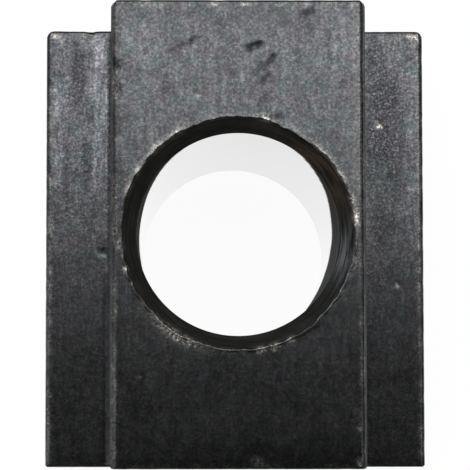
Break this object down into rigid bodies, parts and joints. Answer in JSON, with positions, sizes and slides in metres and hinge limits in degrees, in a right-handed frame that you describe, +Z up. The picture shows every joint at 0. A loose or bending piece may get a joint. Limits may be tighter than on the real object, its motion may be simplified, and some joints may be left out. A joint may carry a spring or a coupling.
{
  "type": "t slot nut",
  "caption": "T-slot nut: a narrow guide neck on a wide clamping flange, in blackened steel, with a tapped hole right through.",
  "frame": {"origin": "centre of the hole on the underside of the flange", "axes": "+Z up along the hole, from the flange towards the neck; +Y along the slot, the way the nut slides; +X across the slot"},
  "size_m": [0.035, 0.0406, 0.028],
  "materials": {
    "blackened_steel": "black oxide, worn bright along the edges"
  },
  "bodies": {
    "root": {"t_slot_nut": "blackened_steel"}
  },
  "joints": []
}
